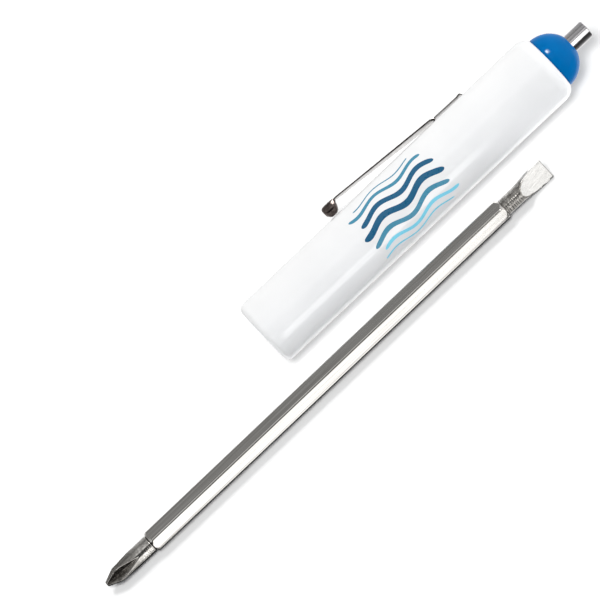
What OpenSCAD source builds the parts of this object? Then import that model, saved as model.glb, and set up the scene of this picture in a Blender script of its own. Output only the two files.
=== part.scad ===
// Pocket screwdriver with a reversible blade, a pocket clip and a pick-up magnet.
// Millimetres. +X runs along the handle towards its cap, +Y towards the clip, +Z up.
// The handle and the loose blade lie side by side on the plane z = 0, and the
// origin is at the middle of the base of the box that holds both.

/* [Barrel] */
// Length of the barrel from its mouth to its rim
barrel_len = 84.8; // [80:0.2:92]
// Diameter of the barrel at its mouth
mouth_dia = 15.8; // [15.2:0.1:16.4]
// Diameter of the barrel where its shoulder starts
top_dia = 16.3; // [15.8:0.1:16.8]
// Edge radius at the mouth
mouth_edge = 1.4; // [0.6:0.1:2]
// Length of the rounded shoulder at the top
shoulder_len = 2.8; // [2:0.1:4]
// Diameter of the rim that the cap sits on
rim_dia = 13.2; // [13.1:0.05:13.6]
// Diameter of the hollow inside the barrel
hollow_dia = 12; // [11.4:0.1:12.2]
// Thickness of the wall at the mouth
mouth_wall = 3; // [2.6:0.1:4]

/* [Socket] */
// Diameter of the round lead-in at the mouth
lead_dia = 5.8; // [5.75:0.01:6]
// Depth of the round lead-in
lead_len = 2.5; // [2:0.1:2.6]
// Size across the flats of the hexagon socket
socket_af = 4.9; // [4.84:0.01:4.96]
// Outside diameter of the socket's core tube
core_dia = 8.8; // [8:0.1:9.4]
// Where the core tube ends, measured from the mouth
core_end = 74; // [66:0.5:75]
// Thickness of the webs that carry the core tube
web_t = 1.4; // [1:0.1:2]

/* [End cap] */
// Diameter of the dome at its base
dome_dia = 13; // [12.6:0.1:13.1]
// Length of the plug that is pressed into the barrel
plug_len = 6; // [4:0.2:8]
// Diameter of the boss that holds the magnet
boss_dia = 6.8; // [6:0.1:7.6]
// Distance from the rim to the boss's inner face, where the blade stops
boss_depth = 8.8; // [7:0.2:9.6]

/* [Pick-up magnet] */
// Diameter of the magnet
magnet_dia = 4.2; // [3.8:0.1:4.8]
// Length of the magnet
magnet_len = 10; // [9:0.2:11]
// How far the magnet stands out past the rim
magnet_reach = 11; // [10.4:0.1:11.6]

/* [Pocket clip] */
// Direction of the clip around the handle, from straight up towards +Y, in degrees
clip_turn = 69; // [63:1:72]
// Thickness of the strip
strip_t = 0.4; // [0.35:0.05:0.5]
// Width of the arm at its root
strip_w = 3; // [2.8:0.1:4.4]
// Width of the strip at the ball
neck_w = 1.5; // [1.3:0.1:2]
// Where the clip's bend is, measured from the mouth
bend_x = 66.2; // [62:0.2:68]
// Length of the tongue that lies on the barrel
tongue_len = 7.6; // [6:0.1:8.4]
// Width of the tongue
tongue_w = 1.6; // [1.2:0.1:2.4]
// Where the middle of the ball is, measured from the mouth
ball_x = 29.2; // [27:0.2:32]
// Diameter of the ball
ball_dia = 3.1; // [2.8:0.1:3.4]
// Gap between the ball and the barrel
ball_gap = 0.55; // [0.3:0.05:0.6]

/* [Blade] */
// Size across the flats of the hexagon steel
hex_af = 4.76; // [4.7:0.01:4.78]
// Overall length of the blade
blade_len = 129.4; // [120:0.2:134]
// Where the cross tip lies, measured from the mouth
blade_start = -60.8; // [-66:0.2:-56]
// Distance between the handle's axis and the blade's axis along the table
blade_gap = 15.3; // [13.5:0.1:18]
// Length of the turned end with the cross tip
cross_end = 13.1; // [12:0.1:14]
// Length of the turned end with the slotted tip
slot_end = 12.7; // [12:0.1:14]
// Diameter of the turned end behind the cross tip
shank_dia = 4.12; // [4:0.02:4.2]
// Diameter of the turned end behind the slotted tip
slot_shank_dia = 3.9; // [3.7:0.05:4.2]
// Turn of the cross tip about the blade's axis, from the flats, in degrees
cross_turn = -9; // [-15:1:15]
// Width across the slotted tip
slot_w = 5; // [4.5:0.02:5.02]
// Thickness of the slotted tip
slot_t = 0.8; // [0.7:0.05:1]
// Length of the ground faces of the slotted tip
slot_len = 8.1; // [6.5:0.1:8.6]

/* [Hidden] */
$fn = 64;

// radii
r_mouth = mouth_dia / 2;
r_top = top_dia / 2;
r_rim = rim_dia / 2;
r_hollow = hollow_dia / 2;
r_shank = shank_dia / 2;
r_slot_shank = slot_shank_dia / 2;
r_magnet = magnet_dia / 2;
r_ball = ball_dia / 2;
// the hexagon's corners are rolled off a little
r_corner = hex_af / sqrt(3) * 0.968;
hex_r = hex_af / sqrt(3);
socket_r = socket_af / sqrt(3);

// barrel radius at a distance from its mouth
function barrel_r(x) = r_mouth + (r_top - r_mouth) * x / (barrel_len - shoulder_len);

// heights on the clip, measured out from the handle's axis
bend_r = strip_t;
tongue_in = barrel_r(bend_x) + 0.13;
bend_h = tongue_in + strip_t;
ball_h = barrel_r(ball_x) + ball_gap + r_ball;
arm_x = bend_x - tongue_len;
leg_w = tongue_w;

// where the handle and the blade lie
blade_low = hex_af / 2;
x_lo = blade_start;
x_hi = barrel_len + magnet_reach;
y_lo = -blade_gap - r_corner;
y_hi = ball_h * sin(clip_turn) + r_ball;
mouth_x = -(x_lo + x_hi) / 2;
handle_y = -(y_lo + y_hi) / 2;
handle_z = r_top;

// points of an arc in the (x, r) plane
function arc(cx, cr, rad, a0, a1, n) =
    [for (i = [0:n]) let (a = a0 + (a1 - a0) * i / n) [cx + rad * cos(a), cr + rad * sin(a)]];

// solid of revolution about X from points (x, r)
module turned(pts) {
    rotate([0, 90, 0]) rotate_extrude($fn = 96) polygon([for (p = pts) [p[1], p[0]]]);
}

// round bar along X
module bar(x0, x1, r) {
    translate([x0, 0, 0]) rotate([0, 90, 0]) cylinder(h = x1 - x0, r = r);
}

// hexagon bar along X with flats facing up and down
module hex_bar(x0, x1, r) {
    translate([x0, 0, 0]) rotate([0, 90, 0]) rotate([0, 0, 90]) cylinder(h = x1 - x0, r = r, $fn = 6);
}

module at_handle() { translate([mouth_x, handle_y, handle_z]) children(); }
module at_clip() { at_handle() rotate([-clip_turn, 0, 0]) children(); }

// handle moulding: shell, core tube with the hexagon socket, and webs
module barrel() color([0.96, 0.96, 0.97]) {
    drop = r_top - r_rim;
    big = (shoulder_len * shoulder_len + drop * drop) / (2 * drop);
    sweep = asin(shoulder_len / big);
    outline = concat(
        [[0, 0]],
        arc(mouth_edge, r_mouth - mouth_edge, mouth_edge, 180, 90, 6),
        arc(barrel_len - shoulder_len, r_top - big, big, 90, 90 - sweep, 8),
        [[barrel_len, 0]]);
    at_handle() difference() {
        union() {
            difference() {
                turned(outline);
                bar(mouth_wall, barrel_len + 1, r_hollow);
            }
            bar(mouth_wall - 0.5, core_end, core_dia / 2);
            for (a = [45:90:315]) rotate([a - clip_turn, 0, 0])
                translate([mouth_wall - 0.5, -web_t / 2, core_dia / 2 - 0.6])
                    cube([core_end - mouth_wall - 3.5, web_t, r_hollow - core_dia / 2 + 1.2]);
        }
        bar(-1, lead_len, lead_dia / 2);
        hex_bar(-1, core_end + 1, socket_r);
        rotate([-clip_turn, 0, 0])
            translate([bend_x - 0.5, -leg_w / 2 - 0.3, core_dia / 2 + 0.4])
                cube([1.5, leg_w + 0.6, 6]);
    }
}

// domed cap with its plug and the boss that holds the magnet
module end_cap() color([0.02, 0.33, 0.66]) {
    r_dome = dome_dia / 2;
    r_skirt = r_hollow - 1.4;
    groove = 2.6;
    hole = magnet_reach - magnet_len;
    at_handle() translate([barrel_len, 0, 0]) turned(concat(
        [[-boss_depth, 0], [-boss_depth, boss_dia / 2], [groove, boss_dia / 2], [groove, r_skirt],
         [-plug_len, r_skirt], [-plug_len, r_hollow - 0.4], [-plug_len + 0.4, r_hollow], [0, r_hollow]],
        arc(0, 0, r_dome, 90, asin(r_magnet / r_dome), 14),
        [[hole, r_magnet], [hole, 0]]));
}

// plain round magnet, broken edge at its tip
module pickup_magnet() color([0.62, 0.62, 0.64]) {
    x0 = magnet_reach - magnet_len;
    at_handle() translate([barrel_len, 0, 0])
        turned([[x0, 0], [x0, r_magnet], [magnet_reach - 0.25, r_magnet],
                [magnet_reach, r_magnet - 0.25], [magnet_reach, 0]]);
}

// one spring-steel strip: barbed leg, bend, tongue, foot, arm and ball
module pocket_clip() color([0.42, 0.41, 0.40]) {
    neck_x = ball_x + 2.4;
    ball_top = ball_h + r_ball;
    foot_h = barrel_r(arm_x) + 0.13;
    at_clip() {
        intersection() {
            rotate([90, 0, 0]) linear_extrude(height = strip_w + 2, center = true)
                polygon([[bend_x, tongue_in], [bend_x, bend_h], [arm_x, bend_h + 0.24],
                         [neck_x, ball_top - 0.28], [ball_x, ball_top - 0.05],
                         [ball_x, ball_top - 0.05 - strip_t], [neck_x, ball_top - 0.28 - strip_t],
                         [arm_x, tongue_in + 0.24]]);
            translate([0, 0, tongue_in - 1]) linear_extrude(height = 6)
                polygon([[bend_x + 1, tongue_w / 2], [arm_x + 0.4, tongue_w / 2], [arm_x + 0.4, strip_w / 2],
                         [arm_x - 1, strip_w / 2], [neck_x, neck_w / 2], [ball_x, neck_w / 2],
                         [ball_x, -neck_w / 2], [neck_x, -neck_w / 2], [arm_x - 1, -strip_w / 2],
                         [arm_x + 0.4, -strip_w / 2], [arm_x + 0.4, -tongue_w / 2], [bend_x + 1, -tongue_w / 2]]);
        }
        translate([ball_x, 0, ball_h]) rotate([90, 0, 0]) sphere(r = r_ball);
        translate([bend_x, -tongue_w / 2, bend_h]) rotate([-90, 0, 0]) cylinder(h = tongue_w, r = bend_r);
        translate([arm_x, -strip_w / 2, foot_h]) cube([0.4, strip_w, tongue_in + 0.5 - foot_h]);
        translate([bend_x, -leg_w / 2, core_dia / 2 + 0.85])
            cube([strip_t, leg_w, bend_h - core_dia / 2 - 0.85]);
        translate([bend_x + strip_t - 0.1, -leg_w / 2, core_dia / 2 + 0.85])
            cube([0.75, leg_w, strip_t]);
    }
}

// cutter for one flute of the cross tip
module flute() {
    rise = (r_shank - 0.45) / 9.1;
    translate([0, 0, 0.45]) rotate([0, -atan(rise), 0]) translate([-2, 0, 0])
        rotate([45, 0, 0]) cube([20, 6, 6]);
}

// reversible blade: hexagon bar with a cross tip and a slotted tip
module blade() color([0.78, 0.77, 0.75]) {
    x1 = blade_len;
    h0 = cross_end;
    h1 = x1 - slot_end;
    r_spade = sqrt(slot_w * slot_w + slot_t * slot_t) / 2;
    translate([mouth_x + blade_start, handle_y - blade_gap, blade_low]) rotate([60, 0, 0]) {
        intersection() {
            hex_bar(h0, h1, hex_r);
            bar(h0, h1, r_corner);
        }
        difference() {
            turned([[0, 0], [0, 0.6], [3, r_shank], [h0 + 1, r_shank], [h0 + 1, 0]]);
            for (a = [0:90:270]) rotate([a + cross_turn, 0, 0]) flute();
        }
        intersection() {
            turned([[h1 - 1, 0], [h1 - 1, r_slot_shank], [x1 - slot_len, r_slot_shank], [x1, r_spade], [x1, 0]]);
            rotate([90, 0, 0]) linear_extrude(height = 8, center = true)
                polygon([[h1 - 2, -r_slot_shank - 0.5], [x1 - slot_len, -r_slot_shank - 0.5],
                         [x1 - slot_len, -r_slot_shank], [x1, -slot_t / 2], [x1, slot_t / 2],
                         [x1 - slot_len, r_slot_shank], [x1 - slot_len, r_slot_shank + 0.5],
                         [h1 - 2, r_slot_shank + 0.5]]);
        }
    }
}

barrel();
end_cap();
pickup_magnet();
pocket_clip();
blade();
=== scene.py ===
import math

import bmesh
import bpy
import numpy as np
from mathutils import Matrix, Vector


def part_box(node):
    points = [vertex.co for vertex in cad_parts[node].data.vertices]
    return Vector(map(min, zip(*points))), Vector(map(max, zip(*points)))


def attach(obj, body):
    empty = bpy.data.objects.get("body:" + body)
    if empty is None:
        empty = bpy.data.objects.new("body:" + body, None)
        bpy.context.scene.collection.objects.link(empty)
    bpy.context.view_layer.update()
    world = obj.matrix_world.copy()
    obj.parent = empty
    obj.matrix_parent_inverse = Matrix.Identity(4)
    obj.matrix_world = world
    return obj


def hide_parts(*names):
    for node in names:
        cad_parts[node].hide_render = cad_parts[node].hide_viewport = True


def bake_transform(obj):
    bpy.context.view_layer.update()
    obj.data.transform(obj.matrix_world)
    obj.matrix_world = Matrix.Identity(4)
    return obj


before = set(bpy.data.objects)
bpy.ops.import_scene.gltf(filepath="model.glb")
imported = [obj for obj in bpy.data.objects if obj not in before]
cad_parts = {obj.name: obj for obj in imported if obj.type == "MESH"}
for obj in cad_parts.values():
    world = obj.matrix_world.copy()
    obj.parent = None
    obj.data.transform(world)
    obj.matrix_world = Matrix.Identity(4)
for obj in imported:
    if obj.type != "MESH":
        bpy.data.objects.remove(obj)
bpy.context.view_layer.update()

scene = bpy.context.scene
MM = 0.001

# ---------------------------------------------------------------- where the pieces lie
b_lo, b_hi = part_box("barrel")
MOUTH = b_lo.x / MM
HY = (b_lo.y + b_hi.y) / 2 / MM
HZ = (b_lo.z + b_hi.z) / 2 / MM
k_lo, k_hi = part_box("blade")
BLADE_X = k_lo.x / MM
BLADE_Y = (k_lo.y + k_hi.y) / 2 / MM
BLADE_Z = (k_lo.z + k_hi.z) / 2 / MM

BARREL_LEN = 84.8
R_MOUTH = 7.9
R_TOP = 8.15
SHOULDER = 2.8
R_RIM = 6.6
CLIP_TURN = 69.0
CLIP_TH = 90.0 - CLIP_TURN          # direction of the clip, from +Y towards +Z
VIEW_EL = 52.6                      # camera height above the horizon, degrees


def barrel_r(x):
    return R_MOUTH + (R_TOP - R_MOUTH) * x / (BARREL_LEN - SHOULDER)


# ---------------------------------------------------------------- mesh helpers
def make_object(name, verts, faces, material=None, sharp=None, mat_index=None):
    me = bpy.data.meshes.new(name)
    me.from_pydata([tuple(float(c) * MM for c in v) for v in verts], [], faces)
    me.validate()
    bm = bmesh.new()
    bm.from_mesh(me)
    bmesh.ops.recalc_face_normals(bm, faces=bm.faces)
    bm.to_mesh(me)
    bm.free()
    for p in me.polygons:
        p.use_smooth = True
    if sharp is not None:
        me.set_sharp_from_angle(angle=math.radians(sharp))
    ob = bpy.data.objects.new(name, me)
    scene.collection.objects.link(ob)
    if material is not None:
        for m in material if isinstance(material, (list, tuple)) else [material]:
            me.materials.append(m)
    if mat_index is not None:
        for p, i in zip(me.polygons, mat_index):
            p.material_index = i
    me.update()
    return ob


class Build:
    """Collects rings of points and the faces between them."""

    def __init__(self):
        self.v, self.f, self.m = [], [], []

    def ring(self, pts):
        i0 = len(self.v)
        self.v.extend(pts)
        return list(range(i0, i0 + len(pts)))

    def point(self, p):
        self.v.append(p)
        return len(self.v) - 1

    def face(self, f, mat=0):
        self.f.append(f)
        self.m.append(mat)

    def bridge(self, a, b, skip=()):
        n = len(a)
        for i in range(n):
            if i in skip:
                continue
            j = (i + 1) % n
            self.face((a[i], a[j], b[j], b[i]))

    def fan(self, a, c):
        n = len(a)
        for i in range(n):
            self.face((a[i], a[(i + 1) % n], c))


def arc(cx, cr, rad, a0, a1, n):
    return [(cx + rad * math.cos(math.radians(a0 + (a1 - a0) * i / n)),
             cr + rad * math.sin(math.radians(a0 + (a1 - a0) * i / n))) for i in range(n + 1)]


def at_handle(x, r, th):
    """Point at distance x from the mouth, radius r, direction th (radians, from +Y towards +Z)."""
    return (MOUTH + x, HY + r * math.cos(th), HZ + r * math.sin(th))


def turned(name, profile, n, material, sharp=35):
    """Solid of revolution about the handle's axis; a radius of 0 makes a pole."""
    b = Build()
    th = [2 * math.pi * i / n for i in range(n)]
    prev = None
    for x, r in profile:
        cur = b.point((MOUTH + x, HY, HZ)) if r <= 1e-9 else b.ring([at_handle(x, r, t) for t in th])
        if prev is not None:
            if isinstance(prev, int):
                b.fan(cur, prev)
            elif isinstance(cur, int):
                b.fan(prev, cur)
            else:
                b.bridge(prev, cur)
        prev = cur
    return make_object(name, b.v, b.f, material, sharp)


# ---------------------------------------------------------------- node helpers
class Mat:
    """A Principled material with short calls for the nodes around it."""

    def __init__(self, name, **values):
        self.m = bpy.data.materials.new(name)
        self.m.use_nodes = True
        self.t = self.m.node_tree
        self.t.nodes.clear()
        self.out = self.t.nodes.new("ShaderNodeOutputMaterial")
        self.p = self.t.nodes.new("ShaderNodeBsdfPrincipled")
        self.t.links.new(self.p.outputs[0], self.out.inputs["Surface"])
        self.co = self.t.nodes.new("ShaderNodeTexCoord").outputs["Object"]
        for k, v in values.items():
            self.p.inputs[k.replace("_", " ")].default_value = v

    def node(self, kind, **kw):
        n = self.t.nodes.new(kind)
        for k, v in kw.items():
            setattr(n, k, v)
        return n

    def link(self, a, b):
        self.t.links.new(a, b)

    def mapped(self, scale, loc=(0, 0, 0), rot=(0, 0, 0), src=None):
        n = self.node("ShaderNodeMapping")
        n.inputs["Location"].default_value = loc
        n.inputs["Rotation"].default_value = rot
        n.inputs["Scale"].default_value = scale
        self.link(src or self.co, n.inputs["Vector"])
        return n.outputs[0]

    def noise(self, scale, detail=3.0, rough=0.5, vec=None, distortion=0.0):
        n = self.node("ShaderNodeTexNoise")
        n.inputs["Scale"].default_value = scale
        n.inputs["Detail"].default_value = detail
        n.inputs["Roughness"].default_value = rough
        n.inputs["Distortion"].default_value = distortion
        self.link(vec or self.co, n.inputs["Vector"])
        return n.outputs["Fac"]

    def ramp(self, fac, stops, interp="LINEAR"):
        n = self.node("ShaderNodeValToRGB")
        n.color_ramp.interpolation = interp
        e = n.color_ramp.elements
        while len(e) < len(stops):
            e.new(0.5)
        for el, (pos, col) in zip(e, stops):
            el.position = pos
            el.color = (*col, 1) if len(col) == 3 else col
        self.link(fac, n.inputs["Fac"])
        return n.outputs["Color"]

    def remap(self, value, lo, hi, a, b, clamp=True):
        n = self.node("ShaderNodeMapRange", clamp=clamp)
        n.inputs["From Min"].default_value = lo
        n.inputs["From Max"].default_value = hi
        n.inputs["To Min"].default_value = a
        n.inputs["To Max"].default_value = b
        self.link(value, n.inputs["Value"])
        return n.outputs["Result"]

    def math(self, op, a, b=None):
        n = self.node("ShaderNodeMath", operation=op)
        for s, x in zip(n.inputs, (a, b)):
            if x is None:
                continue
            if isinstance(x, (int, float)):
                s.default_value = x
            else:
                self.link(x, s)
        return n.outputs[0]

    def mix(self, fac, a, b, mode="MIX"):
        n = self.node("ShaderNodeMix", data_type="RGBA", blend_type=mode)
        for s, x in ((n.inputs[0], fac), (n.inputs[6], a), (n.inputs[7], b)):
            if isinstance(x, (int, float)):
                s.default_value = x
            elif isinstance(x, (tuple, list)):
                s.default_value = (*x, 1) if len(x) == 3 else x
            else:
                self.link(x, s)
        return n.outputs[2]

    def xyz(self, src=None):
        n = self.node("ShaderNodeSeparateXYZ")
        self.link(src or self.co, n.inputs[0])
        return n.outputs

    def bump(self, height, strength, distance, normal=None):
        n = self.node("ShaderNodeBump")
        n.inputs["Strength"].default_value = strength
        n.inputs["Distance"].default_value = distance
        self.link(height, n.inputs["Height"])
        if normal is not None:
            self.link(normal, n.inputs["Normal"])
        return n.outputs[0]

    def set(self, socket, value):
        self.link(value, self.p.inputs[socket])


# ---------------------------------------------------------------- materials
def white_plastic():
    m = Mat("white_plastic", Roughness=0.2, IOR=1.49)
    cloud = m.noise(90, 3, 0.55)
    fine = m.noise(700, 2, 0.5)
    m.set("Base Color", m.ramp(cloud, [(0.3, (0.787, 0.788, 0.790)), (0.7, (0.824, 0.824, 0.825))]))
    streak = m.noise(1, 3, 0.6, m.mapped((60, 1400, 1400)))
    m.set("Roughness", m.math("ADD", m.remap(fine, 0.3, 0.7, 0.030, 0.055), m.remap(streak, 0.45, 0.75, 0.0, 0.02)))
    n1 = m.bump(m.noise(160, 2, 0.5), 0.10, 0.0002)
    n2 = m.bump(m.noise(2600, 2, 0.5), 0.05, 0.00004, n1)
    m.set("Normal", n2)
    return m.m


def blue_plastic():
    m = Mat("blue_plastic", Roughness=0.14, IOR=1.49)
    m.p.inputs["Specular IOR Level"].default_value = 0.06
    cloud = m.noise(220, 3, 0.55)
    m.set("Base Color", m.ramp(cloud, [(0.3, (0.0, 0.116, 0.350)), (0.7, (0.0, 0.130, 0.380))]))
    m.set("Roughness", m.remap(m.noise(900, 2), 0.3, 0.7, 0.035, 0.07))
    n1 = m.bump(m.noise(300, 2), 0.05, 0.0001)
    m.set("Normal", m.bump(m.noise(2600, 2), 0.03, 0.00003, n1))
    return m.m


def magnet_metal():
    m = Mat("magnet_metal", Metallic=1.0, Roughness=0.25)
    streak = m.noise(1, 4, 0.62, m.mapped((55, 2400, 2400)))
    speck = m.noise(2600, 2, 0.6)
    base = m.ramp(streak, [(0.30, (0.30, 0.295, 0.305)), (0.50, (0.52, 0.51, 0.52)), (0.72, (0.70, 0.69, 0.69))])
    m.set("Base Color", m.mix(m.remap(speck, 0.55, 0.75, 0.0, 0.5), base, (0.22, 0.215, 0.22)))
    m.set("Roughness", m.remap(streak, 0.3, 0.7, 0.08, 0.18))
    m.set("Normal", m.bump(streak, 0.12, 0.00005, m.bump(speck, 0.04, 0.00002)))
    return m.m


def clip_metal(name, dark, light, rough):
    m = Mat(name, Metallic=1.0, Roughness=0.25)
    grain = m.noise(1, 4, 0.6, m.mapped((160, 2600, 2600)))
    blotch = m.noise(1100, 3, 0.6)
    m.set("Base Color", m.ramp(blotch, [(0.32, dark), (0.68, light)]))
    m.set("Roughness", m.remap(grain, 0.3, 0.7, *rough))
    m.set("Normal", m.bump(grain, 0.14, 0.00004, m.bump(blotch, 0.10, 0.00005)))
    return m.m


def blade_steel():
    m = Mat("blade_steel", Metallic=1.0, Roughness=0.25)
    co = m.xyz()
    x = m.math("SUBTRACT", m.math("MULTIPLY", co[0], 1000.0), BLADE_X)     # mm from the cross tip
    y = m.math("SUBTRACT", m.math("MULTIPLY", co[1], 1000.0), BLADE_Y)
    z = m.math("SUBTRACT", m.math("MULTIPLY", co[2], 1000.0), BLADE_Z)
    r = m.math("SQRT", m.math("ADD", m.math("MULTIPLY", y, y), m.math("MULTIPLY", z, z)))
    drawn = m.noise(1, 4, 0.62, m.mapped((26, 2300, 2300)))
    mottle = m.noise(1500, 4, 0.62)
    grains = m.noise(3800, 3, 0.6)
    cloud = m.noise(130, 3, 0.55)
    rings = m.noise(1, 3, 0.6, m.mapped((5200, 260, 260)))
    # the turned ends, how deep a point lies in a flute of the cross tip, and the ground faces of the slotted tip
    end_a = m.remap(x, 12.95, 13.15, 1.0, 0.0)
    end_b = m.remap(x, 116.65, 116.85, 0.0, 1.0)
    ends = m.math("ADD", end_a, end_b)
    depth = m.math("SUBTRACT", m.remap(x, 0.0, 3.0, 0.56, 2.06), r)
    flute_shade_mask = m.math("MULTIPLY", m.remap(depth, 0.045, 0.14, 0.0, 1.0), m.remap(x, 9.6, 10.0, 1.0, 0.0))
    ground = m.math("MULTIPLY", m.remap(r, 1.90, 1.82, 0.0, 1.0), m.remap(x, 121.2, 121.7, 0.0, 1.0))
    wide = m.remap(x, 123.0, 124.2, 0.0, 1.0)
    ground = m.math("MAXIMUM", ground, wide)
    plated = m.ramp(drawn, [(0.25, (0.47, 0.455, 0.43)), (0.5, (0.585, 0.572, 0.548)), (0.75, (0.69, 0.676, 0.652))])
    plated = m.mix(m.remap(cloud, 0.35, 0.7, 0.0, 0.22), plated, (0.43, 0.41, 0.385))
    plated = m.mix(m.remap(grains, 0.60, 0.72, 0.0, 0.28), plated, (0.30, 0.285, 0.26))
    lathe = m.ramp(mottle, [(0.3, (0.30, 0.29, 0.275)), (0.55, (0.50, 0.485, 0.46)), (0.75, (0.68, 0.66, 0.63))])
    # painted shade: a darker copy of the turned finish, used on the slotted end's shank
    slot_shank_painted_shade = m.ramp(mottle, [(0.3, (0.16, 0.152, 0.14)), (0.55, (0.31, 0.298, 0.28)), (0.72, (0.56, 0.54, 0.51))])
    stone = m.ramp(m.noise(1, 3, 0.6, m.mapped((900, 2600, 2600))),
                   [(0.3, (0.53, 0.522, 0.505)), (0.6, (0.61, 0.602, 0.585)), (0.75, (0.66, 0.652, 0.635))])
    col = m.mix(end_a, plated, lathe)
    col = m.mix(end_b, col, slot_shank_painted_shade)
    crest = m.math("MULTIPLY", end_a, m.remap(x, 8.0, 9.6, 0.62, 0.0))
    col = m.mix(crest, col, (0.17, 0.162, 0.15))
    # painted shade: a near-black band over the neck groove where the hexagon meets the cross end's shank
    neck_painted_shade = m.math("MULTIPLY", m.remap(x, 12.84, 12.90, 0.0, 1.0), m.remap(x, 13.08, 13.14, 1.0, 0.0))
    col = m.mix(m.math("MULTIPLY", neck_painted_shade, 0.85), col, (0.05, 0.047, 0.043))
    # painted dark reflection: a dark line along all six rounded corners of the hexagon
    corner_painted_dark = m.math("MULTIPLY", m.remap(r, 2.565, 2.60, 0.0, 1.0), m.remap(r, 2.616, 2.630, 1.0, 0.0))
    corner_painted_dark = m.math("MULTIPLY", corner_painted_dark, m.math("SUBTRACT", 1.0, ends))
    col = m.mix(m.math("MULTIPLY", corner_painted_dark, m.remap(drawn, 0.3, 0.7, 0.80, 0.55)), col, (0.15, 0.143, 0.13))
    col = m.mix(ground, col, stone)
    col = m.mix(m.remap(x, 129.18, 129.30, 0.0, 0.75), col, (0.16, 0.155, 0.145))
    # painted shade in the flutes of the cross tip, darker where the flute is deeper
    flute_painted_shade = m.ramp(mottle, [(0.33, (0.15, 0.142, 0.13)), (0.55, (0.30, 0.285, 0.265)), (0.72, (0.62, 0.60, 0.56))])
    m.set("Base Color", m.mix(flute_shade_mask, col, flute_painted_shade))
    rough = m.math("ADD", m.remap(drawn, 0.3, 0.7, 0.08, 0.17), m.math("MULTIPLY", ends, 0.06))
    rough = m.math("ADD", rough, m.math("MULTIPLY", m.math("SUBTRACT", end_b, ground), 0.04))
    m.set("Roughness", rough)
    along = m.bump(drawn, 0.10, 0.00004)
    across = m.math("MULTIPLY", rings, m.math("MAXIMUM", m.math("SUBTRACT", ends, ground), 0.0))
    n = m.bump(across, 0.30, 0.00005, along)
    m.set("Normal", m.bump(mottle, 0.08, 0.00003, n))
    return m.m


def ink(name, colour, dark):
    m = Mat(name, Roughness=0.3, IOR=1.5)
    m.p.inputs["Specular IOR Level"].default_value = 0.3
    m.set("Base Color", m.mix(m.remap(m.noise(2400, 3, 0.6), 0.35, 0.7, 0.0, 0.35), colour, dark))
    m.set("Roughness", m.remap(m.noise(1500, 2), 0.3, 0.7, 0.24, 0.38))
    m.set("Normal", m.bump(m.noise(3000, 2), 0.1, 0.00003))
    return m.m


M_WHITE = white_plastic()
M_BLUE = blue_plastic()
M_MAGNET = magnet_metal()
M_CLIP = clip_metal("clip_steel", (0.36, 0.35, 0.34), (0.48, 0.47, 0.46), (0.14, 0.28))
# painted shade and dark reflection: near-black metal for the strip's side edges and the curled corners at the arm's
# root
M_CLIP_EDGE_SHADE = clip_metal("clip_edge_painted_dark", (0.012, 0.011, 0.010), (0.040, 0.036, 0.033), (0.30, 0.45))
# painted shade: a mid-grey copy of the edge material for the tongue's side edges and the tail's end
M_CLIP_TONGUE_SHADE = clip_metal("clip_tongue_painted_grey", (0.17, 0.16, 0.155), (0.30, 0.285, 0.275), (0.20, 0.34))
M_BALL = clip_metal("clip_ball", (0.055, 0.044, 0.040), (0.155, 0.128, 0.118), (0.12, 0.22))
M_BLADE = blade_steel()


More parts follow.
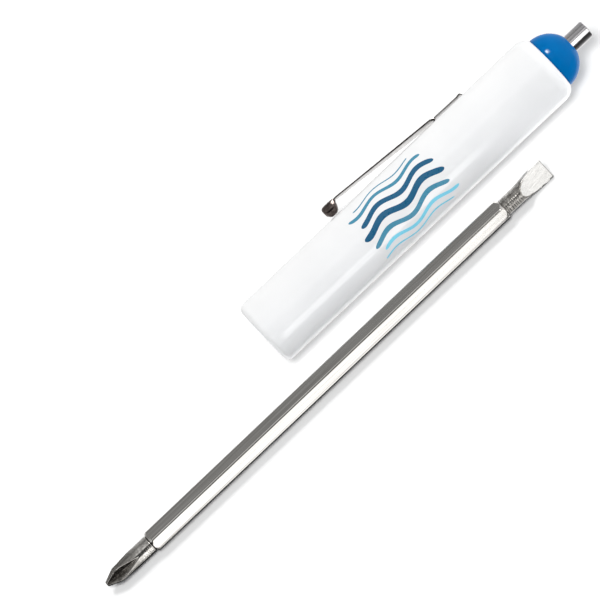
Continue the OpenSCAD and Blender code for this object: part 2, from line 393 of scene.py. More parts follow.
# ---------------------------------------------------------------- barrel
def build_barrel():
    n = 240
    th = [math.radians(1.5 * i) for i in range(n)]
    b = Build()
    socket = 4.9 / 2

    def circle(x, r):
        return b.ring([at_handle(x, r, t) for t in th])

    def hexagon(x, af2):
        # flats face up and down, so the corners lie at multiples of 60 degrees from +Y
        pts = []
        for t in th:
            d = (math.degrees(t) % 60) - 30
            pts.append(at_handle(x, af2 / math.cos(math.radians(d)), t))
        return b.ring(pts)

    # blind hexagon socket, then the round lead-in
    end = b.point((MOUTH + 75.9, HY, HZ))
    prev = hexagon(75.9, socket)
    b.fan(prev, end)
    for x, af2 in ((60.0, socket), (40.0, socket), (20.0, socket), (2.72, socket), (2.5, socket + 0.05)):
        cur = hexagon(x, af2)
        b.bridge(prev, cur)
        prev = cur
    profile = [(2.5, 2.9), (1.2, 2.9), (0.3, 2.9)]
    profile += arc(0.3, 3.2, 0.3, 270, 180, 5)[1:]
    profile += [(0.0, 4.2), (0.0, 5.4)]
    profile += arc(1.4, R_MOUTH - 1.4, 1.4, 180, 90, 16)
    slot_x = (65.7, 67.2)
    xs = [3.5 + 3.0 * i for i in range(27)]
    xs = sorted([x for x in xs if x < 81.5 and all(abs(x - s) > 0.6 for s in slot_x)] + list(slot_x))
    profile += [(x, barrel_r(x)) for x in xs]
    drop = R_TOP - R_RIM
    big = (SHOULDER ** 2 + drop ** 2) / (2 * drop)
    sweep = math.degrees(math.asin(SHOULDER / big))
    profile += arc(BARREL_LEN - SHOULDER, R_TOP - big, big, 90, 90 - sweep, 16)[:-1]
    profile += [(84.745, 6.640), (84.795, 6.590), (84.80, 6.530), (84.775, 6.475), (84.70, 6.445), (84.35, 6.43)]
    slot_i = range(8, 20)             # directions of the clip's slot, 12 to 30 degrees from +Y
    loops = {}
    for x, r in profile:
        cur = circle(x, r)
        skip = ()
        if abs(x - slot_x[1]) < 1e-6:
            skip = set(slot_i)
        b.bridge(prev, cur, skip)
        if x in slot_x:
            loops[x] = cur
        prev = cur
    b.fan(prev, b.point((MOUTH + 84.35, HY, HZ)))
    # walls and floor of the slot
    ca, sa = math.cos(math.radians(CLIP_TH)), math.sin(math.radians(CLIP_TH))
    idx = list(range(8, 21))
    outer = [loops[slot_x[0]][i] for i in idx] + [loops[slot_x[1]][i] for i in reversed(idx)]
    inner = []
    for o in outer:
        px, py, pz = b.v[o]
        t = -(py - HY) * sa + (pz - HZ) * ca
        inner.append(b.point((px, HY + 6.0 * ca - t * sa, HZ + 6.0 * sa + t * ca)))
    b.bridge(outer, inner)
    k = len(idx)
    for i in range(k - 1):
        b.face((inner[i], inner[i + 1], inner[2 * k - 2 - i], inner[2 * k - 1 - i]))
    return make_object("handle_barrel", b.v, b.f, M_WHITE, 35)


barrel = build_barrel()
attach(barrel, "handle")
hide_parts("barrel")

# ---------------------------------------------------------------- domed cap
R_DOME = 6.5
dome = [(84.40, 0.0), (84.40, 3.0), (84.40, 6.20), (84.42, 6.30), (84.48, 6.35), (84.92, 6.36), (84.98, 6.39),
        (85.03, 6.435), (85.09, 6.470)]
a0 = math.degrees(math.acos((85.16 - 84.8) / R_DOME))
a1 = math.degrees(math.asin(2.46 / R_DOME))
dome += arc(84.8, 0.0, R_DOME, a0, a1, 40)
dome += [(90.845, 2.36), (90.835, 2.27), (90.79, 2.19), (90.70, 2.145), (90.2, 2.13), (89.2, 2.13), (89.2, 0.0)]
cap = turned("dome_cap", dome, 192, M_BLUE, 40)
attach(cap, "handle")
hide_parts("end_cap")

# ---------------------------------------------------------------- magnet post
post = [(88.9, 0.0), (88.9, 2.0), (88.95, 2.08), (89.1, 2.1), (91.0, 2.1), (93.0, 2.1), (95.0, 2.1), (95.46, 2.1)]
post += arc(95.48, 1.80, 0.30, 84, 8, 7)
post += [(95.795, 1.70), (95.80, 1.45), (95.785, 1.30), (95.785, 0.8), (95.77, 0.45), (95.765, 0.0)]
magnet = turned("magnet_post", post, 144, M_MAGNET, 40)
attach(magnet, "handle")
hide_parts("pickup_magnet")


# ---------------------------------------------------------------- pocket clip
def at_clip(x, t, h):
    """Point on the clip: x from the mouth, t across the strip, h out from the handle's axis."""
    a = math.radians(CLIP_TH)
    return (MOUTH + x, HY + h * math.cos(a) - t * math.sin(a), HZ + h * math.sin(a) + t * math.cos(a))


def rounded(w, t, rc, k=7):
    """Rounded rectangle, width w and thickness t, as points (across, up)."""
    rc = min(rc, w / 2 * 0.999, t / 2 * 0.999)
    pts = []
    for cx, cy, a in ((1, 1, 0), (-1, 1, 90), (-1, -1, 180), (1, -1, 270)):
        for i in range(k + 1):
            q = math.radians(a + 90 * i / k)
            pts.append((cx * (w / 2 - rc) + rc * math.cos(q), cy * (t / 2 - rc) + rc * math.sin(q)))
    return pts


def smooth(t):
    t = max(0.0, min(1.0, t))
    return t * t * (3 - 2 * t)


def build_clip():
    b = Build()
    st = []                                     # stations: x, middle, thickness, width, corner radius, part
    # formed ball: flat in front, its top level with the strip, swelling towards the barrel
    for x, mid, t in (
            (27.50, 10.37, 1.29), (27.53, 10.37, 1.56), (27.58, 10.365, 1.80), (27.66, 10.35, 2.04), (27.78, 10.31, 2.30),
            (27.94, 10.25, 2.58), (28.14, 10.17, 2.86), (28.40, 10.10, 3.04), (28.75, 10.075, 3.10), (29.15, 10.075, 3.11),
            (29.55, 10.085, 3.09), (29.90, 10.12, 3.01), (30.20, 10.20, 2.84), (30.45, 10.31, 2.59), (30.67, 10.46, 2.25),
            (30.84, 10.62, 1.88), (30.97, 10.79, 1.48), (31.07, 10.94, 1.10)):
        st.append((x, mid, t, t * 1.0, 9, "ball"))
    st += [(31.15, 11.03, 0.80, 1.16, 0.36, "ball"), (31.24, 11.08, 0.60, 1.20, 0.25, "ball"), (31.36, 11.10, 0.46, 1.26, 0.17, "arm"),
           (31.52, 11.12, 0.42, 1.36, 0.13, "arm"), (31.75, 11.125, 0.40, 1.50, 0.12, "arm")]
    # straight arm, widening towards its root
    x0, x1 = 31.75, 57.3
    for i in range(1, 53):
        x = x0 + (x1 - x0) * i / 52
        f = (x - x0) / (x1 - x0)
        st.append((x, 11.125 + (8.86 - 11.125) * f, 0.40 + 0.07 * smooth(f * 1.3), 1.50 + 1.46 * f ** 1.35, 0.12, "arm"))
    # rounded root, then the narrow tongue
    for x, w in ((57.6, 2.97), (57.9, 2.93), (58.12, 2.82), (58.30, 2.62), (58.44, 2.34), (58.56, 2.0), (58.66, 1.76),
                 (58.80, 1.62), (59.0, 1.58)):
        st.append((x, 8.86 - 0.086 * (x - 57.3) / 1.7 * 1.2, 0.40 + 0.07 * smooth((59.0 - x) / 1.4), w, 0.12, "arm" if x < 58.7 else "tongue"))
    h0 = st[-1][1]
    for i in range(1, 17):
        f = i / 16
        st.append((59.0 + 6.35 * f, h0 + (8.66 - h0) * f, 0.40, 1.56, 0.12, "tongue"))

    def sweep(stations, frames=None):
        prev = None
        for k, (x, mid, t, w, rc, part) in enumerate(stations):
            if frames is None:
                ring = [at_clip(x, p, mid + q) for p, q in rounded(w, t, rc)]
            else:
                ax, ah = frames[k]
                ring = [at_clip(x + ax * q, p, mid + ah * q) for p, q in rounded(w, t, rc)]
            cur = b.ring(ring)
            if prev is not None:
                n = len(cur)
                for i in range(n):
                    side = i in (15, 31)
                    # the side faces take the painted shade: near-black on the arm and leg, grey on the tongue
                    mat = {"ball": 2, "arm": 1 if side else 0, "tongue": 3 if side else 0, "leg": 1 if side else 0}[part]
                    b.face((prev[i], prev[(i + 1) % n], cur[(i + 1) % n], cur[i]), mat)
            else:
                first = cur
            prev = cur
        return first, prev

    first, last = sweep(st)
    x, mid, t, w, rc, part = st[0]
    inner = b.ring([at_clip(x - 0.006, p * 0.5, mid + q * 0.5) for p, q in rounded(w, t, rc)])
    n = len(inner)
    tip = b.point(at_clip(x - 0.008, 0, mid))
    for i in range(n):
        b.face((inner[i], inner[(i + 1) % n], first[(i + 1) % n], first[i]), 2)
        b.face((inner[i], inner[(i + 1) % n], tip), 2)
    # tail: a low arch up from the tongue and down into the barrel's slot
    path = []
    for i in range(1, 11):
        f = i / 10
        path.append((65.35 + 0.72 * f, 8.66 + 0.13 * smooth(f)))
    cx, ch, rad = 66.07, 8.79 - 0.66, 0.66
    for i in range(1, 15):
        a = math.radians(90 - 90 * i / 14)
        path.append((cx + rad * math.cos(a), ch + rad * math.sin(a)))
    path += [(cx + rad, ch - 0.3), (cx + rad, ch - 0.8), (cx + rad, ch - 1.4), (cx + rad, 6.10)]
    tail, frames = [], []
    for k, (px, ph) in enumerate(path):
        qx, qh = path[max(0, k - 1)]
        rx, rh = path[min(len(path) - 1, k + 1)]
        d = math.hypot(rx - qx, rh - qh)
        tail.append((px, ph, 0.40, 1.56, 0.12, "leg"))
        frames.append((-(rh - qh) / d, (rx - qx) / d))
    f2, l2 = sweep(tail, frames)
    n = len(f2)
    for i in range(n):
        b.face((last[i], last[(i + 1) % n], f2[(i + 1) % n], f2[i]), 1 if i in (15, 31) else 0)
    px, ph = path[-1]
    end = b.point(at_clip(px, 0, ph))
    for i in range(n):
        b.face((l2[i], l2[(i + 1) % n], end), 3)

    def ear(side):
        """Corner of the arm's root, curled down until it stands on the barrel."""
        rings = []
        t0, t1 = 0.80, 1.46
        for px, ph, ax, ah, th in ((57.35, 8.82, 0.0, 1.0, 0.30), (57.75, 8.81, 0.05, 1.0, 0.36), (58.05, 8.76, 0.22, 0.97, 0.40),
                                   (58.28, 8.67, 0.48, 0.88, 0.42), (58.45, 8.54, 0.74, 0.67, 0.42), (58.55, 8.40, 0.93, 0.37, 0.40),
                                   (58.60, 8.27, 1.0, 0.05, 0.36), (58.60, 8.16, 1.0, 0.0, 0.30)):
            pts = []
            for p, q in rounded(t1 - t0, th, 0.11, 4):
                pts.append(at_clip(px + ax * q, side * ((t0 + t1) / 2 + p), ph + ah * q))
            rings.append(b.ring(pts))
        n = len(rings[0])
        # painted shade in the bend: the whole curled corner takes the near-black edge material
        for r0, r1 in zip(rings, rings[1:]):
            for i in range(n):
                b.face((r0[i], r0[(i + 1) % n], r1[(i + 1) % n], r1[i]), 1)
        for r0, c in ((rings[0], at_clip(57.33, side * (t0 + t1) / 2, 8.82)), (rings[-1], at_clip(58.60, side * (t0 + t1) / 2, 8.15))):
            k = b.point(c)
            for i in range(n):
                b.face((r0[i], r0[(i + 1) % n], k), 1)

    ear(1)
    ear(-1)
    ob = make_object("pocket_clip_strip", b.v, b.f, [M_CLIP, M_CLIP_EDGE_SHADE, M_BALL, M_CLIP_TONGUE_SHADE], 50, b.m)
    wn = ob.modifiers.new("flat_faces", "WEIGHTED_NORMAL")
    wn.keep_sharp = True
    wn.weight = 60
    return ob


clip = build_clip()
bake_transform(clip)
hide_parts("pocket_clip")


# ---------------------------------------------------------------- blade
def build_blade():
    # directions round the axis: even steps, and finer ones over the hexagon's rounded corners
    deg = sorted(set([1.2 * i for i in range(300)] +
                     [60 * k + o for k in range(6) for o in (-5.2, -3.7, -2.2, -0.75, 0.75, 2.2, 3.7, 5.2)]))
    al = np.radians(np.array(deg) % 360.0)
    al = np.sort(al)
    n = len(al)
    af2, r_a, r_b = 2.38, 2.06, 1.95
    L, cross_end, slot_end, slot_len = 129.4, 13.1, 12.7, 8.1
    h0, h1 = cross_end, L - slot_end
    far = 1 / (1 + (slot_len / 1.45) ** 2.3)
    # hexagon with its corners rounded to 0.58
    rho = 0.58
    c0 = (af2 - rho) / math.cos(math.radians(30))
    d = (np.degrees(al) + 30) % 60 - 30                       # from the nearest corner
    reach = math.degrees(math.atan2(rho * 0.5, c0 + rho * math.cos(math.radians(30))))
    dr = np.radians(d)
    flat = af2 / np.cos(np.radians(30 - np.abs(d)))
    round_ = c0 * np.cos(dr) + np.sqrt(np.maximum(0.0, rho ** 2 - (c0 * np.sin(dr)) ** 2))
    hexa = np.where(np.abs(d) < reach, round_, flat)

    def soft(a, c, q):
        return (a ** -q + c ** -q) ** (-1 / q)

    def flute(root):
        out = np.full(n, 50.0)
        cot = 1 / math.tan(math.radians(46.0))
        for k in range(4):
            e = al - math.radians(77 + 90 * k)
            e = (e + math.pi) % (2 * math.pi) - math.pi
            den = np.cos(e) - np.sqrt(np.sin(e) ** 2 + 0.0004) * cot
            ok = (np.abs(e) < math.radians(60)) & (den > 1e-3)
            out[ok] = np.minimum(out[ok], root / den[ok])
        return np.minimum(out, 50.0)

    def rings(x, a, c, pitch, amp):
        """Turning marks between a and c."""
        if x <= a or x >= c:
            return 0.0
        w = smooth((x - a) / 0.6) * smooth((c - x) / 0.25)
        return -amp * w * (0.5 - 0.5 * math.cos(2 * math.pi * x / pitch + 1.3 * math.sin(x * 2.1)))

    def radius(x):
        if x < h0 + 1.2:
            base = 0.56 + (r_a - 0.56) * x / 3.0 if x < 3.0 else r_a
            if 2.6 < x < 3.6:
                base -= 0.03 * (1 - abs(x - 3.0) / 0.6) if abs(x - 3.0) < 0.6 else 0.0
            if x < 0.12:
                base *= 0.84 + 0.16 * smooth(x / 0.12)
            base += rings(x, 9.2, 12.75, 0.50, 0.028) * smooth((x - 9.2) / 3.2)
            g = (x - (h0 - 0.16)) / 0.13
            base -= 0.15 * math.exp(-g * g)
            r = np.full(n, base)
            if x >= h0:
                cone = 2.345 + 0.48 * (x - h0)
                r = soft(hexa, np.full(n, cone), 90)
            if x < 10.0:
                e = x - 4.2
                root = 0.36 + 0.345 * 0.5 * (e + math.sqrt(e * e + 0.36))
                r = soft(r, flute(root), 36)
            return r
        if x > h1 - 1.2:
            base = r_b + rings(x, h1 + 0.35, L - slot_len + 0.1, 0.55, 0.020)
            g = (x - (h1 + 0.16)) / 0.13
            base -= 0.13 * math.exp(-g * g)
            r = np.full(n, base)
            if x <= h1:
                cone = 2.345 + 0.48 * (h1 - x)
                r = soft(hexa, np.full(n, cone), 90)
            s = x - (L - slot_len)
            if s > -0.3:
                f = max(0.0, s / slot_len)
                side = base + (2.50 - r_b) * smooth(f / 0.62)
                half = 0.40 + 1.55 * (1 / (1 + (max(0.0, s) / 1.45) ** 2.3) - far) / (1 - far)
                slab = half / np.maximum(1e-4, np.abs(np.sin(al)))
                r = soft(np.full(n, side), slab, 70)
            return r
        return hexa

    def steps(a, c, d):
        k = max(1, int(round((c - a) / d)))
        return [a + (c - a) * i / k for i in range(k)]

    xs = [0.0, 0.03, 0.07] + steps(0.12, 3.6, 0.12) + steps(3.6, 8.6, 0.22) + steps(8.6, h0 - 0.4, 0.0625)
    xs += steps(h0 - 0.4, h0 - 0.004, 0.04) + [h0 - 0.004] + steps(h0, h0 + 0.8, 0.05) + steps(h0 + 0.8, h0 + 1.2, 0.2)
    xs += steps(h0 + 1.2, h1 - 1.2, 3.4)
    xs += steps(h1 - 1.2, h1 - 0.8, 0.2) + steps(h1 - 0.8, h1, 0.05) + [h1, h1 + 0.004] + steps(h1 + 0.03, h1 + 0.4, 0.04)
    xs += steps(h1 + 0.4, L - slot_len - 0.1, 0.085) + steps(L - slot_len - 0.1, L - 0.14, 0.12) + [L - 0.14]
    b = Build()
    c60, s60 = 0.5, math.sqrt(3) / 2

    def put(x, r):
        y, z = r * np.cos(al), r * np.sin(al)
        yy, zz = y * c60 - z * s60, y * s60 + z * c60
        return [(BLADE_X + x, BLADE_Y + u, BLADE_Z + w) for u, w in zip(yy, zz)]

    loops = [b.ring(put(x, radius(x))) for x in xs]
    last = radius(L - 0.14)
    loops.append(b.ring(put(L - 0.10, last - 0.015)))
    loops.append(b.ring(put(L - 0.04, last - 0.055)))
    loops.append(b.ring(put(L, last - 0.12)))
    for r0, r1 in zip(loops, loops[1:]):
        b.bridge(r0, r1)
    b.fan(loops[0], b.point((BLADE_X, BLADE_Y, BLADE_Z)))
    b.fan(loops[-1], b.point((BLADE_X + L, BLADE_Y, BLADE_Z)))
    return make_object("reversible_blade", b.v, b.f, M_BLADE, 38)


blade = build_blade()
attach(blade, "blade")
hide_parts("blade")


# ---------------------------------------------------------------- printed wave bands on the barrel
def build_print():
    b = Build()
    th0 = math.radians(180 - VIEW_EL + 2.0)
    x_mid, half = 41.2, 11.6
    # centre across the barrel, half width, wave height, phase, ink, start and end as parts of the half length
    bands = [
        (-7.3, 0.17, 0.60, 0.0, 1, -0.80, 0.62),
        (-5.5, 0.42, 0.66, 0.4, 1, -1.00, 0.84),
        (-3.1, 0.58, 0.72, 0.8, 0, -0.88, 0.96),
        (-0.5, 0.72, 0.76, 1.2, 0, -1.00, 1.00),
        (2.3, 0.56, 0.76, 1.6, 1, -0.94, 0.92),
        (4.8, 0.44, 0.70, 2.0, 2, -0.82, 1.00),
        (6.8, 0.22, 0.62, 2.4, 2, -0.92, 0.78),
    ]
    nx, ny = 96, 6
    for s0, hw, amp, ph, mat, xa, xb in bands:
        top, bot = [], []
        for i in range(nx + 1):
            f = i / nx
            x = x_mid + half * (xa + (xb - xa) * f)
            e = min(f, 1 - f) * (xb - xa) * half
            w = hw * min(1.0, math.sqrt(max(0.0004, 1 - max(0.0, 1 - e / (2.6 * hw)) ** 2)))
            c = s0 + amp * math.sin((x - x_mid) * 2 * math.pi / 11.5 + ph)
            rt, rb = [], []
            for j in range(ny + 1):
                s = c + w * (2 * j / ny - 1)
                r = barrel_r(x)
                t = th0 + s / r
                rt.append(at_handle(x, r + 0.016, t))
                rb.append(at_handle(x, r + 0.002, t))
            top.append(b.ring(rt))
            bot.append(b.ring(rb))
        for i in range(nx):
            for j in range(ny):
                b.face((top[i][j], top[i + 1][j], top[i + 1][j + 1], top[i][j + 1]), mat)
                b.face((bot[i][j], bot[i][j + 1], bot[i + 1][j + 1], bot[i + 1][j]), mat)
            for j in (0, ny):
                b.face((top[i][j], top[i + 1][j], bot[i + 1][j], bot[i][j]), mat)
        for i in (0, nx):
            for j in range(ny):
                b.face((top[i][j], top[i][j + 1], bot[i][j + 1], bot[i][j]), mat)
    mats = [ink("ink_navy", (0.010, 0.100, 0.205), (0.016, 0.125, 0.245)),
            ink("ink_teal", (0.055, 0.245, 0.365), (0.075, 0.285, 0.410)),
            ink("ink_cyan", (0.190, 0.640, 0.830), (0.260, 0.690, 0.860))]
    return make_object("printed_waves", b.v, b.f, mats, 30, b.m)


waves = build_print()
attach(waves, "handle")

# ---------------------------------------------------------------- floor and backdrop
def plane(name, size, z):
    s = size / 2
    me = bpy.data.meshes.new(name)
    me.from_pydata([(-s, -s, z), (s, -s, z), (s, s, z), (-s, s, z)], [], [(0, 1, 2, 3)])
    ob = bpy.data.objects.new(name, me)
    scene.collection.objects.link(ob)
    return ob


floor = plane("floor", 8.0, -0.00002)
mf = Mat("pale_floor", Roughness=0.9)
mf_xyz = mf.xyz()
mf_far = mf.math("SQRT", mf.math("ADD", mf.math("MULTIPLY", mf_xyz[0], mf_xyz[0]), mf.math("MULTIPLY", mf_xyz[1], mf_xyz[1])))
mf_far = mf.remap(mf_far, 0.30, 0.95, 0.0, 1.0)
mf_near = mf.ramp(mf.noise(6, 2), [(0.3, (0.25, 0.25, 0.25)), (0.7, (0.26, 0.26, 0.26))])
mf.set("Base Color", mf.mix(mf_far, mf_near, (0.93, 0.93, 0.93)))
mf.p.inputs["Specular IOR Level"].default_value = 0.0
mf.p.inputs["Emission Color"].default_value = (0.985, 1.0, 1.025, 1)
# the floor glows: faintly to the camera and more strongly to diffuse rays, as fill light on the object's undersides
mf_path = mf.node("ShaderNodeLightPath").outputs
mf.link(mf.math("ADD", mf.math("MULTIPLY", mf_path["Is Camera Ray"], 0.05), mf.math("MULTIPLY", mf_path["Is Diffuse Ray"], 0.45)),
        mf.p.inputs["Emission Strength"])
floor.data.materials.append(mf.m)
floor.visible_glossy = False


# ---------------------------------------------------------------- light
def softbox(name, loc, aim, size_x, size_y, radiance, colour=(1, 1, 1)):
    li = bpy.data.lights.new(name, "AREA")
    li.shape = "RECTANGLE"
    li.size, li.size_y = size_x, size_y
    li.energy = radiance * math.pi * size_x * size_y
    li.color = colour
    ob = bpy.data.objects.new(name, li)
    scene.collection.objects.link(ob)
    ob.location = loc
    ob.rotation_mode = "QUATERNION"
    ob.rotation_quaternion = (Vector(aim) - Vector(loc)).to_track_quat("-Z", "Y")
    ob.visible_camera = False
    return ob


def shines_on(light, *objs, leave_out=False):
    """Limits a light to some objects, or keeps it off them."""
    coll = bpy.data.collections.new(light.name + "_receivers")
    for ob in objs:
        coll.objects.link(ob)
    if leave_out:
        for co in coll.collection_objects:
            co.light_linking.link_state = "EXCLUDE"
    light.light_linking.receiver_collection = coll


def passes(light, *objs):
    """Keeps some objects from shading a light."""
    coll = bpy.data.collections.new(light.name + "_blockers")
    for ob in objs:
        coll.objects.link(ob)
    for co in coll.collection_objects:
        co.light_linking.link_state = "EXCLUDE"
    light.light_linking.blocker_collection = coll


def reflector(name, x0, x1, z0, z1, radiance, *objs):
    """Upright soft panel in front of the object that only shows in the gloss of some pieces."""
    xc, zc = (x0 + x1) / 2, (z0 + z1) / 2
    ob = softbox(name, (xc, -0.60, zc), (xc, 0, zc), x1 - x0, z1 - z0, radiance)
    ob.visible_diffuse = False
    shines_on(ob, *objs)
    return ob


key_dir = Vector((0.40, 0.064, 0.913)).normalized()
key = softbox("key", key_dir * 1.25, (0, 0, 0), 0.52, 0.52, 4.4)
key.visible_glossy = False
shines_on(key, floor, leave_out=True)
front_key = softbox("floor_key_front", (-0.10, -0.47, 1.10), (0, 0, 0), 0.40, 0.40, 60.0)
back_key = softbox("floor_key_back", (0.06, 0.58, 1.05), (0, 0, 0), 0.40, 0.40, 45.0)
for ob in (front_key, back_key):
    ob.visible_glossy = False
    shines_on(ob, floor)
passes(back_key, barrel, cap, magnet, clip, waves)
window = softbox("window", key_dir * 1.25, (0, 0, 0), 0.34, 0.34, 480.0)
window.visible_diffuse = False
shines_on(window, cap)
lamp = softbox("lamp", key_dir * 1.25, (0, 0, 0), 0.42, 0.42, 9.0)
lamp.visible_diffuse = False
shines_on(lamp, blade)
spark_dir = Vector((0.41, -0.39, 0.822)).normalized()
spark = softbox("spark", spark_dir * 1.3, (0, 0, 0), 0.34, 0.34, 15.0)
spark.visible_diffuse = False
shines_on(spark, blade)
end_panel = softbox("end_panel", (0.75, -0.28, 0.0), (0.045, -0.012, 0.002), 0.80, 0.9, 0.68)
end_panel.visible_diffuse = False
shines_on(end_panel, blade)
passes(end_panel, floor)
back_panel = softbox("back_panel", (0.23, 0.60, -0.02), (0.23, 0, -0.02), 0.34, 0.36, 1.7)
back_panel.visible_diffuse = False
shines_on(back_panel, blade)
passes(back_panel, floor, barrel)
glow_dir = Vector((0.830, 0.500, 0.300)).normalized()
glow = softbox("glow", glow_dir * 1.2, (0, 0, 0), 1.15, 1.4, 12.0)
glow.visible_diffuse = False
shines_on(glow, clip)
reflector("strip_barrel", -0.028, 0.067, -0.040, 0.185, 3.0, barrel, waves)
reflector("strip_blade", -0.098, 0.066, -0.055, 0.204, 1.68, blade)
passes(reflector("strip_low", -0.098, 0.062, -1.60, -0.055, 1.65, blade), floor)
reflector("strip_cross", -0.70, -0.098, -0.45, 0.14, 2.1, blade)
reflector("strip_slot", 0.0760, 0.60, -0.01, 0.53, 1.45, blade)
reflector("strip_post", 0.08, 0.60, 0.09, 0.84, 2.2, magnet)

# painted shade: a dark strip on the floor close under the blade, seen only in its gloss, standing in for the shade
# there
card_me = bpy.data.meshes.new("contact_shade_card")
card_pts = []
for a0, a1, c0, c1 in ((12.8, 117.0, -2.55, 2.6), (-62.0, 12.8, -3.0, 2.6), (117.0, 122.0, -1.2, 2.2)):
    card_pts += [((BLADE_X + a) * MM, (BLADE_Y + c) * MM, 0.00001) for a, c in ((a0, c0), (a1, c0), (a1, c1), (a0, c1))]
card_me.from_pydata(card_pts, [], [(0, 1, 2, 3), (4, 5, 6, 7), (8, 9, 10, 11)])
card = bpy.data.objects.new("contact_shade_card", card_me)
scene.collection.objects.link(card)
for name, lo_v, hi_v in (("contact_shade", 0.14, 0.20), ("contact_shade_deep", 0.02, 0.04)):
    mc = Mat(name, Roughness=1.0)
    mc.set("Base Color", mc.ramp(mc.noise(400, 2), [(0.3, (lo_v,) * 3), (0.7, (hi_v,) * 3)]))
    mc.p.inputs["Specular IOR Level"].default_value = 0.0
    card_me.materials.append(mc.m)
for p in card_me.polygons[1:]:
    p.material_index = 1
card.visible_camera = card.visible_diffuse = card.visible_shadow = False

world = bpy.data.worlds.new("studio")
scene.world = world
world.use_nodes = True
wt = world.node_tree
wt.nodes.clear()


def w_node(kind, **kw):
    n = wt.nodes.new(kind)
    for k, v in kw.items():
        setattr(n, k, v)
    return n


w_out = w_node("ShaderNodeOutputWorld")
w_sep = w_node("ShaderNodeSeparateXYZ")
wt.links.new(w_node("ShaderNodeTexCoord").outputs["Generated"], w_sep.inputs[0])
# angle round the object's long axis: 0 is the front horizon, 90 the zenith, 180 the back, -90 straight down
w_neg = w_node("ShaderNodeMath", operation="MULTIPLY")
w_neg.inputs[1].default_value = -1.0
wt.links.new(w_sep.outputs["Y"], w_neg.inputs[0])
w_ang = w_node("ShaderNodeMath", operation="ARCTAN2")
wt.links.new(w_sep.outputs["Z"], w_ang.inputs[0])
wt.links.new(w_neg.outputs[0], w_ang.inputs[1])
w_map = w_node("ShaderNodeMapRange")
w_map.inputs["From Min"].default_value = -math.pi
w_map.inputs["From Max"].default_value = math.pi
wt.links.new(w_ang.outputs[0], w_map.inputs["Value"])
w_ramp = w_node("ShaderNodeValToRGB")
wt.links.new(w_map.outputs["Result"], w_ramp.inputs["Fac"])
room = [(-180, 0.62), (-165, 0.80), (-120, 0.90), (-100, 1.45), (-84, 1.45), (-76, 0.50), (-62, 0.36), (-40, 0.16), (-24, 0.03),
        (-4, 0.08), (2, 0.20), (18, 0.20), (24, 0.06), (58, 0.07), (62, 0.98), (70, 0.98), (76, 0.60), (112, 0.58), (119, 0.34), (128, 0.31),
        (150, 0.46), (180, 0.62)]
els = w_ramp.color_ramp.elements
while len(els) < len(room):
    els.new(0.5)
for el, (deg, v) in zip(els, room):
    el.position = (deg + 180) / 360
    el.color = (v, v, v, 1)
# the right-hand end of the room is pale
w_side = w_node("ShaderNodeMapRange", interpolation_type="SMOOTHSTEP")
w_side.inputs["From Min"].default_value = 0.40
w_side.inputs["From Max"].default_value = 0.75
wt.links.new(w_sep.outputs["X"], w_side.inputs["Value"])
w_mix = w_node("ShaderNodeMix", data_type="RGBA")
w_up = w_node("ShaderNodeMapRange", interpolation_type="SMOOTHSTEP")
w_up.inputs["From Min"].default_value = -0.42
w_up.inputs["From Max"].default_value = -0.28
wt.links.new(w_sep.outputs["Z"], w_up.inputs["Value"])
w_end = w_node("ShaderNodeMath", operation="MULTIPLY")
wt.links.new(w_side.outputs["Result"], w_end.inputs[0])
wt.links.new(w_up.outputs["Result"], w_end.inputs[1])
wt.links.new(w_end.outputs[0], w_mix.inputs[0])
wt.links.new(w_ramp.outputs["Color"], w_mix.inputs[6])
w_mix.inputs[7].default_value = (0.8, 0.8, 0.8, 1)
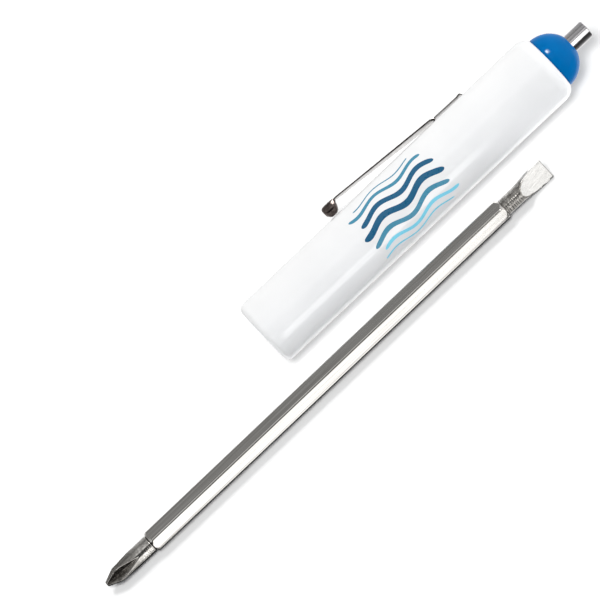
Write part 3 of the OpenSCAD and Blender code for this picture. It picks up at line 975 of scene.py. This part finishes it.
# shiny surfaces see that room; matt ones get even light from all round; the camera sees a pale backdrop
w_path = w_node("ShaderNodeLightPath")
w_room, w_even, w_pale = (w_node("ShaderNodeBackground") for _ in range(3))
wt.links.new(w_mix.outputs[2], w_room.inputs["Color"])
w_low = w_node("ShaderNodeValToRGB")
wt.links.new(w_map.outputs["Result"], w_low.inputs["Fac"])
low = [(-180, 0.48), (-130, 0.52), (-80, 0.97), (-8, 1.0), (0, 0.42), (26, 0.42), (50, 1.05), (112, 1.12), (140, 0.92), (180, 0.48)]
els = w_low.color_ramp.elements
while len(els) < len(low):
    els.new(0.5)
for el, (deg, v) in zip(els, low):
    el.position = (deg + 180) / 360
    el.color = (v, v, v, 1) if v > 0.45 else (0.92 * v, 0.99 * v, 1.08 * v, 1)
wt.links.new(w_low.outputs["Color"], w_even.inputs["Color"])
# less of it comes from the left-hand end
w_left = w_node("ShaderNodeMapRange", interpolation_type="SMOOTHSTEP")
w_left.inputs["From Min"].default_value = -0.95
w_left.inputs["From Max"].default_value = -0.15
w_left.inputs["To Min"].default_value = 0.50
w_left.inputs["To Max"].default_value = 1.165
wt.links.new(w_sep.outputs["X"], w_left.inputs["Value"])
wt.links.new(w_left.outputs["Result"], w_even.inputs["Strength"])
w_pale.inputs["Color"].default_value = (0.93, 0.935, 0.94, 1)
w_a, w_b = w_node("ShaderNodeMixShader"), w_node("ShaderNodeMixShader")
wt.links.new(w_path.outputs["Is Glossy Ray"], w_a.inputs[0])
wt.links.new(w_even.outputs[0], w_a.inputs[1])
wt.links.new(w_room.outputs[0], w_a.inputs[2])
wt.links.new(w_path.outputs["Is Camera Ray"], w_b.inputs[0])
wt.links.new(w_a.outputs[0], w_b.inputs[1])
wt.links.new(w_pale.outputs[0], w_b.inputs[2])
wt.links.new(w_b.outputs[0], w_out.inputs["Surface"])

# ---------------------------------------------------------------- camera
DIST, FRAME_MM, ROLL = 1.15, 128.8, 43.5
el = math.radians(VIEW_EL)
back = Vector((0, -math.cos(el), math.sin(el)))
up0 = Vector((0, math.sin(el), math.cos(el)))
ro = math.radians(ROLL)
right = Vector((1, 0, 0)) * math.cos(ro) - up0 * math.sin(ro)
up = Vector((1, 0, 0)) * math.sin(ro) + up0 * math.cos(ro)
target = Vector(((MOUTH + 11.0) * MM, HY * MM, HZ * MM)) + up0 * 0.075 * MM
cam_data = bpy.data.cameras.new("camera")
cam_data.sensor_width = 36.0
cam_data.lens = 36.0 * DIST / (FRAME_MM * MM)
cam_data.clip_start, cam_data.clip_end = 0.01, 50
cam = bpy.data.objects.new("camera", cam_data)
scene.collection.objects.link(cam)
rot = Matrix((right, up, back)).transposed()
cam.matrix_world = Matrix.Translation(target + back * DIST) @ rot.to_4x4()
scene.camera = cam
scene.view_settings.view_transform = "Standard"
scene.view_settings.look = "None"
